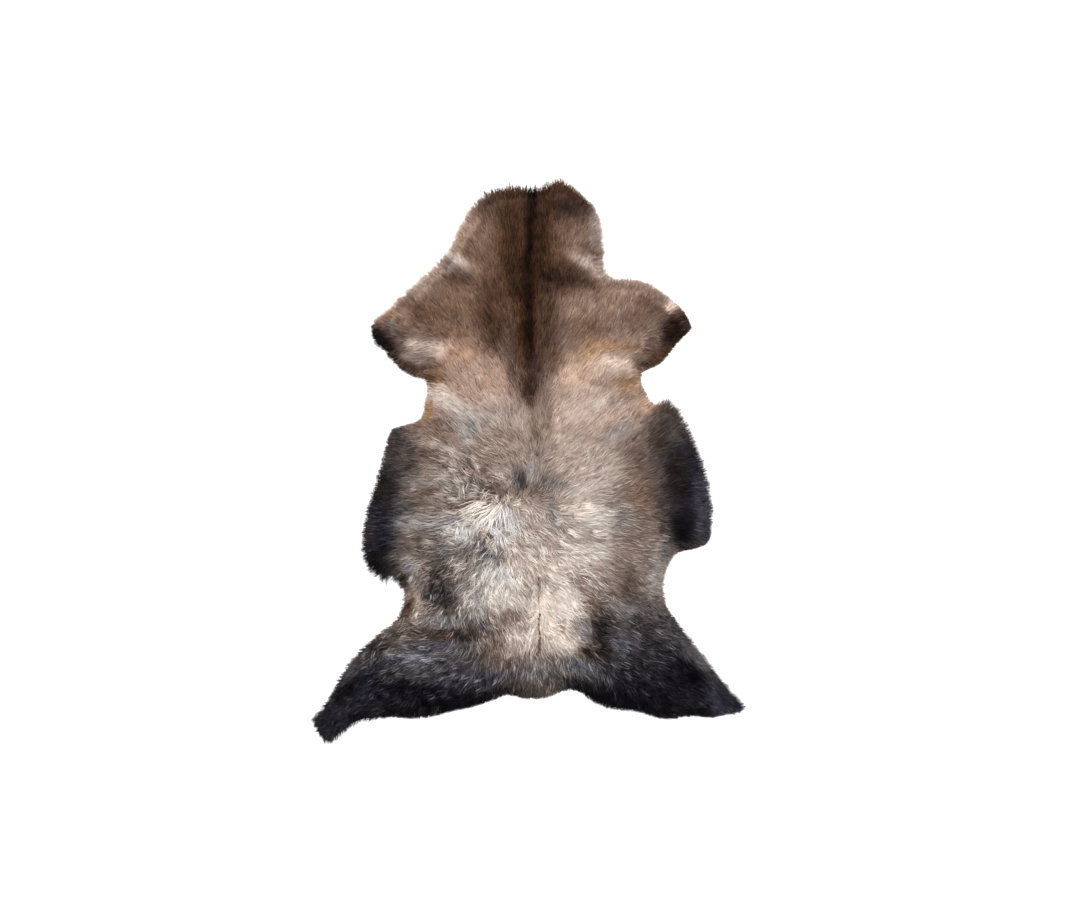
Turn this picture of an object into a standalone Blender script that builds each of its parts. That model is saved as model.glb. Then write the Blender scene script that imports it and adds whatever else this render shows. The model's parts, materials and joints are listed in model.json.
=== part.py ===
"""A tanned lambskin with its wool on, lying flat on a floor with the wool up.

The pelt is one piece, as it comes from the tannery: a skin with the neck, four legs, two flank flaps
and the tail left on, and the wool that grows from it. It is modelled as one solid. The underside is
the flat flesh side, the top follows the depth of the wool and the folds of the skin, and the rim is a
row of pointed locks whose roots are fused into the pelt.

Metres, +Z up. +Y runs along the spine towards the neck and +X is the right of the pelt seen from
above. The origin is on the floor under the middle of the pelt's box.
"""

import math
from collections import namedtuple

import bmesh
import bpy
from mathutils import Vector, noise
from mathutils.geometry import delaunay_2d_cdt
from mathutils.kdtree import KDTree

MM = 0.001

# Driving dimensions, in millimetres. The tables below are drawn for this length and width, and the
# finished pelt is stretched to them.
PELT_LENGTH = 1000
PELT_WIDTH = 760
LEAST_DEPTH = 3.0  # the skin and the shortest hair on it

# The wool's relief.
WOOL_PITCH = 13.0  # between the points that shape the top of the wool
CLEAR_SHARE = 0.62  # of a pitch, kept free round the rim's points and the narrow folds' rows
SHOULDER = 1.0  # the wool rounds down to the rim over this many times its own depth
RIM_SHARE = 0.34  # the wool's depth at the rim, as a share of its depth inside
RIM_RELIEF = 0.25  # how much of the folds and clumps is left at the rim
CLUMP_SHARE = 0.14  # how far clumps of wool rise and sink, as a share of the wool's depth
CLUMPS = ((42.0, 1.6), (21.0, 0.8))  # from one clump to the next, and how much that size counts

# The locks round the rim.
LOCK_PITCH = 13.0  # from one lock's root to the next
LOCK_SPREAD = 0.45  # how much longer or shorter than its neighbours a lock may be
LOCK_SWAY = 0.5  # how far a tip leans along the rim, as a share of half the root's width
RING_AT = 0.55  # how far out a lock's middle ring lies, as a share of its length
RING_WIDTH = 0.58  # the ring's width, as a share of the root's
RING_HEIGHT = 0.56  # the ring's height, as a share of the root's
TIP_HEIGHT = 1.6  # of a tip above the floor

WOOL_COLOUR = (0.235, 0.185, 0.160, 1.0)
WOOL_ROUGHNESS = 0.9

# The outline, clockwise from the notch in the nape. Each stretch starts at a corner of the pelt.
# lock is how far the locks stand out along it, and points are (x, y) on the line where half of the
# wool has ended.
Stretch = namedtuple("Stretch", "name lock points")
OUTLINE = (
    Stretch("right of the nape", 13, ((12, 483), (36, 494), (60, 499), (85, 482), (112, 457))),
    Stretch("right side of the neck", 9, ((125, 428), (130, 385))),
    Stretch("front of the right foreleg", 8, ((132, 345), (145, 327), (175, 324), (210, 317), (238, 299))),
    Stretch("right forefoot", 6, ((269, 276), (281, 259))),
    Stretch("back of the right foreleg", 4, ((289, 238), (262, 209), (238, 179), (217, 166))),
    Stretch("right elbow", 4, ((199, 158), (201, 135), (212, 114))),
    Stretch("top of the right flank", 15, ((223, 104), (247, 108), (268, 86), (286, 48))),
    Stretch("right flank", 15, ((304, 5), (317, -38), (324, -82), (323, -117))),
    Stretch("foot of the right flank", 4, ((320, -139), (309, -151), (280, -158))),
    Stretch("right waist", 4, ((258, -167), (243, -193), (237, -226), (244, -258))),
    Stretch("right thigh", 3, ((260, -283), (294, -330), (330, -376), (363, -418))),
    Stretch("right hind foot", 3, ((380, -438), (367, -448), (346, -451))),
    Stretch("inside of the right shank", 4, ((327, -457), (290, -453), (250, -458))),
    Stretch("inside of the right thigh", 4, ((224, -455), (198, -445), (150, -439), (112, -425))),
    Stretch("tail", 5, ((94, -411), (66, -407), (30, -420), (-10, -423))),
    Stretch("inside of the left thigh", 4, ((-39, -415), (-87, -432), (-140, -445), (-200, -457))),
    Stretch("inside of the left shank", 4, ((-250, -455), (-301, -461))),
    Stretch("sole of the left hind foot", 3, ((-327, -477), (-349, -495), (-360, -498))),
    Stretch("left hind foot", 3, ((-374, -482), (-381, -459), (-366, -441))),
    Stretch("left thigh", 3, ((-349, -411), (-325, -369), (-297, -336), (-268, -309), (-240, -286))),
    Stretch("left waist", 4, ((-226, -265), (-222, -240), (-231, -215), (-246, -208))),
    Stretch("foot of the left flank", 15, ((-256, -213), (-288, -185), (-297, -140))),
    Stretch("left flank", 15, ((-290, -93), (-276, -45), (-262, 2), (-252, 36))),
    Stretch("left elbow", 4, ((-242, 59), (-218, 66), (-192, 77), (-186, 105), (-181, 130))),
    Stretch("back of the left foreleg", 4, ((-183, 144), (-210, 154), (-235, 171), (-258, 201))),
    Stretch("left forefoot", 6, ((-274, 214), (-280, 233), (-277, 248))),
    Stretch("front of the left foreleg", 8, ((-262, 262), (-230, 286), (-200, 317), (-169, 343))),
    Stretch("left side of the neck", 9, ((-157, 358), (-135, 390), (-118, 428), (-101, 452))),
    Stretch("left of the nape", 13, ((-84, 468), (-62, 481), (-30, 487), (-4, 486))),
)
CURVE_STEPS = 12  # steps of the smooth line from one of those points to the next

# How deep the wool stands, at places on the pelt. reach is how far a row carries.
Depth = namedtuple("Depth", "place x y reach depth")
WOOL = (
    Depth("nape", 0, 450, 70, 27),
    Depth("neck", 0, 330, 80, 29),
    Depth("left shoulder", -110, 270, 70, 26),
    Depth("right shoulder", 120, 260, 70, 26),
    Depth("left forefoot", -265, 230, 34, 13),
    Depth("right forefoot", 268, 245, 34, 14),
    Depth("left foreleg", -215, 235, 50, 21),
    Depth("right foreleg", 215, 260, 50, 21),
    Depth("left elbow", -180, 105, 42, 12),
    Depth("right elbow", 195, 135, 42, 12),
    Depth("withers", 0, 150, 90, 33),
    Depth("saddle", -20, -20, 110, 39),
    Depth("left ribs", -170, -50, 80, 37),
    Depth("right ribs", 190, -30, 80, 37),
    Depth("left flank", -255, -90, 60, 40),
    Depth("right flank", 290, -50, 60, 40),
    Depth("left waist", -215, -240, 40, 15),
    Depth("right waist", 235, -225, 40, 15),
    Depth("loin", 0, -180, 90, 38),
    Depth("rump", 0, -300, 90, 33),
    Depth("tail", 0, -405, 45, 20),
    Depth("left thigh", -170, -370, 70, 28),
    Depth("right thigh", 180, -360, 70, 28),
    Depth("left shank", -275, -410, 50, 21),
    Depth("right shank", 280, -400, 50, 21),
    Depth("left hind foot", -355, -470, 40, 12),
    Depth("right hind foot", 355, -440, 40, 11),
)

# Rolls and troughs of the skin, and partings of the wool: from one end to the other, half as wide
# as half_width says on each side, and rise high or, below 0, deep.
Fold = namedtuple("Fold", "name x1 y1 x2 y2 half_width rise")
FOLDS = (
    Fold("roll at the right of the neck", 128, 350, 62, 368, 15, 9),
    Fold("crease under that roll", 118, 322, 40, 330, 14, -9),
    Fold("roll at the left of the neck", -146, 362, -92, 338, 13, 6),
    Fold("crease under that roll", -134, 328, -82, 312, 14, -6),
    Fold("bulge at the right elbow", 128, 176, 172, 172, 24, 9),
    Fold("crease behind the right foreleg", 100, 200, 192, 186, 10, -6),
    Fold("hollow of the right elbow", 150, 132, 196, 128, 20, -5),
    Fold("bulge at the left foreleg", -205, 204, -160, 196, 22, 8),
    Fold("crease behind the left foreleg", -190, 166, -120, 170, 13, -6),
    Fold("bulge at the left elbow", -160, 122, -140, 118, 24, 7),
    Fold("roll along the left thigh", -330, -400, -262, -318, 15, 5),
    Fold("trough of the left thigh", -318, -440, -250, -340, 16, -5),
    Fold("crease across the left thigh", -200, -300, -85, -325, 15, -6),
    Fold("crease above the right thigh", 118, -255, 140, -335, 17, -7),
    Fold("roll along the right thigh", 262, -320, 345, -418, 14, 5),
    Fold("trough of the right thigh", 215, -345, 318, -440, 16, -6),
    Fold("roll under that trough", 130, -395, 225, -430, 16, 4),
    Fold("hollow of the back", 20, -18, 45, -26, 26, -4),
    Fold("spine", 2, 478, 5, 95, 9, -4),
    Fold("parting above the tail", 22, -200, 19, -345, 6, -6),
)
NARROW = 10  # a fold this narrow gets rows of points of its own
NARROW_ROWS = (-2.2, -1.0, 0.0, 1.0, 2.2)  # from its middle, in half widths


def curve_through(stretches):
    """The outline as one smooth closed line: for each stretch, its points with more between them."""
    points = [Vector(p) for s in stretches for p in s.points]
    lines = []
    at = 0
    for s in stretches:
        line = []
        for _ in s.points:
            a, b, c, d = (points[(at + k) % len(points)] for k in (-1, 0, 1, 2))
            for step in range(CURVE_STEPS):
                t = step / CURVE_STEPS
                slope = (c - a) * t
                bend = (2 * a - 5 * b + 4 * c - d) * t**2
                twist = (3 * b - a - 3 * c + d) * t**3
                line.append(b + (slope + bend + twist) / 2)
            at += 1
        lines.append(line)
    return lines


def evenly(line, pitch):
    """Points about a pitch apart along an open line, from its start, without its end."""
    lengths = [0.0]
    for a, b in zip(line, line[1:]):
        lengths.append(lengths[-1] + (b - a).length)
    count = max(1, round(lengths[-1] / pitch))
    found = []
    k = 0
    for n in range(count):
        want = lengths[-1] * n / count
        while lengths[k + 1] < want:
            k += 1
        share = (want - lengths[k]) / (lengths[k + 1] - lengths[k])
        found.append(line[k].lerp(line[k + 1], share))
    return found


def lock_stations(stretches):
    """[(point on the outline, how far the locks stand out there)] for each lock's first root corner."""
    lines = curve_through(stretches)
    found = []
    for n, (stretch, line) in enumerate(zip(stretches, lines)):
        after = (n + 1) % len(stretches)
        points = evenly([*line, lines[after][0]], LOCK_PITCH)
        for k, point in enumerate(points):
            past_middle = max(0.0, 2 * k / len(points) - 1)
            found.append((point, stretch.lock + (stretches[after].lock - stretch.lock) * past_middle))
    return found


def outward(points):
    """The outward direction at each point of a clockwise closed line."""
    count = len(points)
    found = []
    for k in range(count):
        along = points[(k + 1) % count] - points[k - 1]
        found.append(Vector((-along.y, along.x)).normalized())
    return found


def depth_at(x, y):
    """How deep the wool stands over a place, between the rows of WOOL."""
    total = 0.0
    weight = 0.0
    for row in WOOL:
        share = math.exp(-((x - row.x) ** 2 + (y - row.y) ** 2) / row.reach**2)
        total += share * row.depth
        weight += share
    return total / weight


def fold_at(x, y):
    """How far the folds lift or sink the wool at a place."""
    rise = 0.0
    for fold in FOLDS:
        start = Vector((fold.x1, fold.y1))
        along = Vector((fold.x2, fold.y2)) - start
        share = (Vector((x, y)) - start).dot(along) / along.length_squared
        near = start + along * min(1.0, max(0.0, share))
        away = (Vector((x, y)) - near).length / fold.half_width
        rise += fold.rise * math.exp(-away * away)
    return rise


def clump_at(x, y):
    """The clumps of the wool, from -1 to 1."""
    rise = sum(share * noise.noise(Vector((x / size, y / size, share))) for size, share in CLUMPS)
    return max(-1.0, min(1.0, rise))


def top_of_wool(x, y, to_rim):
    """The height of the wool at a place that lies to_rim inside the rim."""
    depth = depth_at(x, y)
    inside = min(1.0, to_rim / (SHOULDER * depth))
    round_share = math.sqrt(1 - (1 - inside) ** 2)
    rise = depth * (RIM_SHARE + (1 - RIM_SHARE) * round_share)
    relief = fold_at(x, y) + depth * CLUMP_SHARE * clump_at(x, y)
    return max(LEAST_DEPTH, rise + relief * (RIM_RELIEF + (1 - RIM_RELIEF) * inside))


def narrow_rows():
    """Points along the narrow folds, which the even points would miss."""
    found = []
    for fold in FOLDS:
        if fold.half_width > NARROW:
            continue
        start = Vector((fold.x1, fold.y1))
        along = Vector((fold.x2, fold.y2)) - start
        side = Vector((-along.y, along.x)).normalized() * fold.half_width
        count = round(along.length / WOOL_PITCH)
        for row in NARROW_ROWS:
            found += [start + along * (k / count) + side * row for k in range(count + 1)]
    return found


def staggered_points(rim_tree):
    """Points a pitch apart clear of the rim, in the rows of a triangle grid, round the narrow folds' own."""
    clear = CLEAR_SHARE * WOOL_PITCH
    found = [p for p in narrow_rows() if rim_tree.find((*p, 0))[2] > clear]
    row_tree = KDTree(len(found))
    for n, p in enumerate(found):
        row_tree.insert((*p, 0), n)
    row_tree.balance()
    step_y = WOOL_PITCH * math.sqrt(3) / 2
    rows = round(PELT_LENGTH / 2 / step_y)
    columns = round(PELT_WIDTH / 2 / WOOL_PITCH)
    for j in range(-rows, rows + 1):
        for i in range(-columns, columns + 1):
            point = Vector(((i + 0.5 * (j % 2)) * WOOL_PITCH, j * step_y, 0))
            if rim_tree.find(point)[2] > clear and row_tree.find(point)[2] > clear:
                found.append(point.xy)
    return found


def add_lock(pelt, root, out, lock, number):
    """Closes one gap in the rim with a lock: four sides to a narrower middle ring, then to a tip."""
    low_a, low_b, high_b, high_a = root
    sway = LOCK_SWAY * noise.noise(Vector((number * 0.73, 3.1, 0.0)))
    length = lock * MM * (1.0 + LOCK_SPREAD * noise.noise(Vector((number * 1.31, 9.7, 0.0))))
    middle = (low_a.co + low_b.co) / 2
    half = (low_b.co - low_a.co) / 2
    reach = out * length + half * sway
    height = RING_HEIGHT * (high_a.co.z + high_b.co.z) / 2

    ring = []
    for side, z in ((-1, 0), (1, 0), (1, height), (-1, height)):
        place = middle + reach * RING_AT + half * (side * RING_WIDTH)
        ring.append(pelt.verts.new((place.x, place.y, z)))
    tip = middle + reach
    end = pelt.verts.new((tip.x, tip.y, TIP_HEIGHT * MM))
    for k in range(4):
        after = (k + 1) % 4
        pelt.faces.new((root[k], root[after], ring[after], ring[k]))
        pelt.faces.new((ring[k], ring[after], end))


def stretch_to_size(pelt):
    """Gives the plan of the pelt its driving length and width, with the origin in the middle."""
    for axis, size in ((0, PELT_WIDTH * MM), (1, PELT_LENGTH * MM)):
        low = min(v.co[axis] for v in pelt.verts)
        high = max(v.co[axis] for v in pelt.verts)
        for v in pelt.verts:
            v.co[axis] = ((v.co[axis] - low) / (high - low) - 0.5) * size


def wool_material():
    material = bpy.data.materials.new("brown_wool")
    material.use_nodes = True
    shader = material.node_tree.nodes["Principled BSDF"]
    shader.inputs["Base Color"].default_value = WOOL_COLOUR
    shader.inputs["Roughness"].default_value = WOOL_ROUGHNESS
    shader.inputs["Metallic"].default_value = 0.0
    material.diffuse_color = WOOL_COLOUR
    return material


def lambskin():
    """The whole pelt as one closed mesh: flat below, the wool's relief above, locks round the rim."""
    stations = lock_stations(OUTLINE)
    outs = outward([point for point, _ in stations])
    roots = [point - out * lock / 2 for (point, lock), out in zip(stations, outs)]
    count = len(roots)
    rim_tree = KDTree(count * 2)
    for n, a in enumerate(roots):
        b = roots[(n + 1) % count]
        rim_tree.insert((*a, 0), 2 * n)
        rim_tree.insert((*((a + b) / 2), 0), 2 * n + 1)
    rim_tree.balance()

    rim = [(n, (n + 1) % count) for n in range(count)]
    points = [*roots, *staggered_points(rim_tree)]
    inside_only = 1
    places, _, triangles, *_ = delaunay_2d_cdt(points, rim, [], inside_only, 1e-4)

    pelt = bmesh.new()
    top = {}
    for n in sorted({n for triangle in triangles for n in triangle}):
        to_rim = 0.0 if n < count else rim_tree.find((*places[n], 0))[2]
        top[n] = pelt.verts.new(Vector((*places[n], top_of_wool(*places[n], to_rim))) * MM)
    for triangle in triangles:
        pelt.faces.new([top[n] for n in triangle])
    floor = [pelt.verts.new(Vector((*place, 0)) * MM) for place in places[:count]]
    pelt.faces.new(floor)
    for n, (a, b) in enumerate(rim):
        out = Vector((*(outs[a] + outs[b]).normalized(), 0))
        lock = (stations[a][1] + stations[b][1]) / 2
        add_lock(pelt, (floor[a], floor[b], top[b], top[a]), out, lock, n)
    stretch_to_size(pelt)
    bmesh.ops.recalc_face_normals(pelt, faces=pelt.faces)

    mesh = bpy.data.meshes.new("lambskin")
    pelt.to_mesh(mesh)
    pelt.free()
    mesh.materials.append(wool_material())
    mesh.shade_smooth()
    mesh.set_sharp_from_angle(angle=math.radians(50))
    part = bpy.data.objects.new("lambskin", mesh)
    bpy.context.scene.collection.objects.link(part)
    return part


def main():
    for old in list(bpy.data.objects):
        bpy.data.objects.remove(old)
    lambskin()


main()
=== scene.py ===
"""A tanned lambskin with its wool on, lying flat on a pale floor with the wool up.

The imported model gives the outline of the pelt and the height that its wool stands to. Here it becomes
what it is made of: the skin, the dense wool close to it, and the strands that lie over that.

Metres, +Z up. +Y runs along the spine towards the neck and +X is the right of the pelt seen from above.
"""

import json
import math
from collections import namedtuple

import bpy
import numpy as np
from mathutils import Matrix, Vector, noise
from mathutils.bvhtree import BVHTree
from mathutils.kdtree import KDTree

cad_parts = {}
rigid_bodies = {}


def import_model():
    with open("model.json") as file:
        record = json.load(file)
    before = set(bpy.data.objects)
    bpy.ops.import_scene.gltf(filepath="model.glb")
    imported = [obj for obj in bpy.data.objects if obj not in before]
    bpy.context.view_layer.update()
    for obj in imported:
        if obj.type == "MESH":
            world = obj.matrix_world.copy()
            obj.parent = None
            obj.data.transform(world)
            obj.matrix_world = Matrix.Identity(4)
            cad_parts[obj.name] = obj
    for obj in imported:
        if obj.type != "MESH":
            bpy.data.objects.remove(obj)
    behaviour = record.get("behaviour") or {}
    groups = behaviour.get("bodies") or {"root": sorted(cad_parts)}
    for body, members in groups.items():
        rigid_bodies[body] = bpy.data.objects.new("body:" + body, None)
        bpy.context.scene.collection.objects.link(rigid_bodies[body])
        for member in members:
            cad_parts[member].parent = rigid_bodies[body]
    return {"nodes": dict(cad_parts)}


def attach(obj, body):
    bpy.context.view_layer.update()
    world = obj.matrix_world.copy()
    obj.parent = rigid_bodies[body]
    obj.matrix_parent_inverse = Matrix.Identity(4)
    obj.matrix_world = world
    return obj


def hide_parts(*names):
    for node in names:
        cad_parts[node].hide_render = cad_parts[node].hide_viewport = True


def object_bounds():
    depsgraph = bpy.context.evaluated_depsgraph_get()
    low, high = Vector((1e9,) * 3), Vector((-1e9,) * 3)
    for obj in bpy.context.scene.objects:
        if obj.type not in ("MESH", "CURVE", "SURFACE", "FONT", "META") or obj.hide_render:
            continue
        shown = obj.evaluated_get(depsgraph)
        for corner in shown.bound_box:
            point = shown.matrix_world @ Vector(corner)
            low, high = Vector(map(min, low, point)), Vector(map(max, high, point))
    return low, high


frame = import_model()
cad_low, cad_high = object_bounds()
MM = (cad_high.y - cad_low.y) / 1000  # the tables below are drawn for a pelt 1000 mm long
draw = np.random.default_rng(11)  # one seed for all that is scattered


# The skin. One lamb's hide, tanned soft and 1.8 mm thick, in one piece with the neck, legs, flank flaps
# and tail left on. It is cut freehand along the belly and legs, and its flesh side is buffed to a suede.
SKIN_THICKNESS = 1.8 * MM
SKIN_INSET = 6.0 * MM  # the wool hangs this far over the cut edge, and its tips further
SKIN_CORNER = 2.5 * MM  # how far back its corners are rounded
TIP_BAND = (1.5 * MM, 1.7 * MM)  # only the tips of the rim's locks lie this high


def mode(name):
    bpy.ops.object.mode_set(mode=name)


def select_whole():
    bpy.ops.mesh.select_all(action="SELECT")


def slab_without_locks(name):
    """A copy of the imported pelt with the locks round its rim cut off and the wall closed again."""
    slab = bpy.data.objects.new(name, frame["nodes"]["lambskin"].data.copy())
    bpy.context.scene.collection.objects.link(slab)
    slab.data.materials.clear()
    bpy.ops.object.select_all(action="DESELECT")
    slab.select_set(True)
    bpy.context.view_layer.objects.active = slab
    bpy.context.tool_settings.mesh_select_mode = (True, False, False)
    mode("EDIT")
    select_whole()
    bpy.ops.mesh.customdata_custom_splitnormals_clear()
    bpy.ops.mesh.remove_doubles(threshold=1e-5)
    bpy.ops.mesh.select_all(action="DESELECT")
    mode("OBJECT")
    for v in slab.data.vertices:
        v.select = TIP_BAND[0] < v.co.z < TIP_BAND[1]
    mode("EDIT")
    bpy.ops.mesh.select_more()
    bpy.ops.mesh.delete(type="VERT")
    select_whole()
    bpy.ops.mesh.delete_loose(use_verts=False, use_edges=True, use_faces=False)
    bpy.ops.mesh.select_all(action="DESELECT")
    bpy.ops.mesh.select_mode(type="EDGE")
    bpy.ops.mesh.select_non_manifold()
    bpy.ops.mesh.bridge_edge_loops()
    select_whole()
    bpy.ops.mesh.normals_make_consistent(inside=False)
    mode("OBJECT")
    return slab


skin = slab_without_locks("skin")
for p in skin.data.polygons:
    p.select = p.normal.z > -0.99
bpy.context.tool_settings.mesh_select_mode = (False, False, True)
mode("EDIT")
bpy.ops.mesh.delete(type="FACE")
select_whole()
bpy.ops.mesh.dissolve_faces()
mode("OBJECT")
rim = np.array([skin.data.vertices[n].co[:2] for n in skin.data.polygons[0].vertices])
mode("EDIT")
select_whole()
bpy.ops.mesh.inset(thickness=SKIN_INSET)
bpy.ops.mesh.select_all(action="INVERT")
bpy.ops.mesh.delete(type="FACE")
bpy.context.tool_settings.mesh_select_mode = (True, False, False)
select_whole()
bpy.ops.mesh.bevel(offset=SKIN_CORNER, segments=2, affect="VERTICES")
select_whole()
bpy.ops.mesh.extrude_region_move(TRANSFORM_OT_translate={"value": (0, 0, SKIN_THICKNESS)})
select_whole()
bpy.ops.mesh.normals_make_consistent(inside=False)
mode("OBJECT")


def linear(colour):
    """A colour written as RRGGBB, as the numbers that a shader takes."""
    parts = [int(colour[k : k + 2], 16) / 255 for k in (0, 2, 4)]
    return [p / 12.92 if p < 0.04045 else ((p + 0.055) / 1.055) ** 2.4 for p in parts] + [1.0]


class Nodes:
    """A material's nodes, added and joined one by one."""

    def __init__(self, name, **finish):
        self.material = bpy.data.materials.new(name)
        self.material.use_nodes = True
        self.tree = self.material.node_tree
        self.shader = self.tree.nodes["Principled BSDF"]
        for socket, value in finish.items():
            self.shader.inputs[socket.replace("_", " ").title()].default_value = value

    def add(self, kind, inputs=(), **settings):
        node = self.tree.nodes.new(kind)
        for key, value in settings.items():
            setattr(node, key, value)
        for socket, value in dict(inputs).items():
            if isinstance(value, bpy.types.NodeSocket):
                self.tree.links.new(value, node.inputs[socket])
            else:
                node.inputs[socket].default_value = value
        return node

    def ramp(self, factor, stops):
        """A colour ramp over (position, RRGGBB) stops."""
        node = self.add("ShaderNodeValToRGB", {"Fac": factor})
        elements = node.color_ramp.elements
        while len(elements) < len(stops):
            elements.new(1.0)
        for element, (at, colour) in zip(elements, stops):
            element.position = at
            element.color = linear(colour)
        return node.outputs["Color"]

    def mix(self, factor, a, b):
        node = self.add("ShaderNodeMix", data_type="RGBA")
        for socket, value in ((0, factor), (6, a), (7, b)):
            self.tree.links.new(value, node.inputs[socket])
        return node.outputs[2]

    def to(self, socket, value):
        self.tree.links.new(value, self.shader.inputs[socket])


suede = Nodes("suede", roughness=0.95)
place = suede.add("ShaderNodeTexCoord").outputs["Object"]
cloud = suede.add("ShaderNodeTexNoise", {"Vector": place, "Scale": 9, "Detail": 4})
nub = suede.add("ShaderNodeTexNoise", {"Vector": place, "Scale": 420, "Detail": 3})
suede.to("Base Color", suede.ramp(cloud.outputs["Fac"], ((0.3, "C9B08E"), (0.5, "D8C4A4"), (0.7, "E2D2B6"))))
bump = suede.add("ShaderNodeBump", {"Height": nub.outputs["Fac"], "Strength": 0.35, "Distance": 0.4 * MM})
suede.to("Normal", bump.outputs["Normal"])
skin.data.materials.append(suede.material)
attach(skin, "root")
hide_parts("lambskin")


# The wool close to the skin. It is too dense and fine to see strand by strand: a lumpy layer that
# follows the skin's folds, darker than the tips that lie over it, partly for its own colour and partly as
# painted shade from the strands above.
UNDERCOAT_SHARE = 0.62  # of the height that the wool stands to
UNDERCOAT_TONE = 0.85  # of the tone of the strands, partly painted shade


def inside_rim(x, y):
    """For each place, whether it lies inside the line of the locks' roots."""
    crossings = np.zeros(len(x), int)
    for (ax, ay), (bx, by) in zip(rim, np.roll(rim, -1, axis=0)):
        if ay != by:
            level = (ay > y) != (by > y)
            crossings += level & (x < ax + (y - ay) * (bx - ax) / (by - ay))
    return crossings % 2 == 1


def beyond_rim(x, y):
    """For each place, how far outside the rim it lies, or, below 0, inside."""
    nearest = np.full(len(x), np.inf)
    for a, b in zip(rim, np.roll(rim, -1, axis=0)):
        along = b - a
        share = ((x - a[0]) * along[0] + (y - a[1]) * along[1]) / (along @ along)
        share = share.clip(0, 1)
        away = np.hypot(x - a[0] - share * along[0], y - a[1] - share * along[1])
        nearest = np.minimum(nearest, away)
    return np.where(inside_rim(x, y), -nearest, nearest)


CELL = 4 * MM  # of the grid on which the height of the wool is kept
GRID_MARGIN = 40 * MM
GRID_LOW = np.array(cad_low[:2]) - GRID_MARGIN
GRID_COUNT = np.ceil((np.array(cad_high[:2]) + GRID_MARGIN - GRID_LOW) / CELL).astype(int) + 1
SAG = 0.78  # past the rim the wool sinks to this share of its height with each cell
SAG_CELLS = 8


def height_grid():
    """The height that the wool stands to, at each corner of the grid, sinking past the rim."""
    node = frame["nodes"]["lambskin"].data
    tree = BVHTree.FromPolygons([v.co for v in node.vertices], [p.vertices for p in node.polygons])
    xs = GRID_LOW[0] + CELL * np.arange(GRID_COUNT[0])
    ys = GRID_LOW[1] + CELL * np.arange(GRID_COUNT[1])
    found = np.zeros(GRID_COUNT)
    x, y = (a.ravel() for a in np.meshgrid(xs, ys, indexing="ij"))
    inside = inside_rim(x, y).reshape(found.shape)
    for i, j in zip(*np.nonzero(inside)):
        hit = tree.ray_cast(Vector((xs[i], ys[j], 1)), Vector((0, 0, -1)))[0]
        found[i, j] = hit.z if hit else 0
    for _ in range(SAG_CELLS):
        around = np.maximum.reduce([np.roll(found, step, axis) for step in (1, -1) for axis in (0, 1)])
        found = np.where(found > 0, found, SAG * around)
    return found


heights = height_grid()


def height_at(x, y):
    """The height of the wool at each place."""
    at_x = ((x - GRID_LOW[0]) / CELL).clip(0, GRID_COUNT[0] - 1.001)
    at_y = ((y - GRID_LOW[1]) / CELL).clip(0, GRID_COUNT[1] - 1.001)
    i, j = at_x.astype(int), at_y.astype(int)
    u, v = at_x - i, at_y - j
    low = heights[i, j] * (1 - u) + heights[i + 1, j] * u
    high = heights[i, j + 1] * (1 - u) + heights[i + 1, j + 1] * u
    return low * (1 - v) + high * v


def drift(x, y, size, seed):
    """Smooth noise from -1 to 1 at each place, with features of about a size."""
    return np.array([noise.noise(Vector((a, b, seed))) for a, b in zip(x / size, y / size)])
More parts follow.
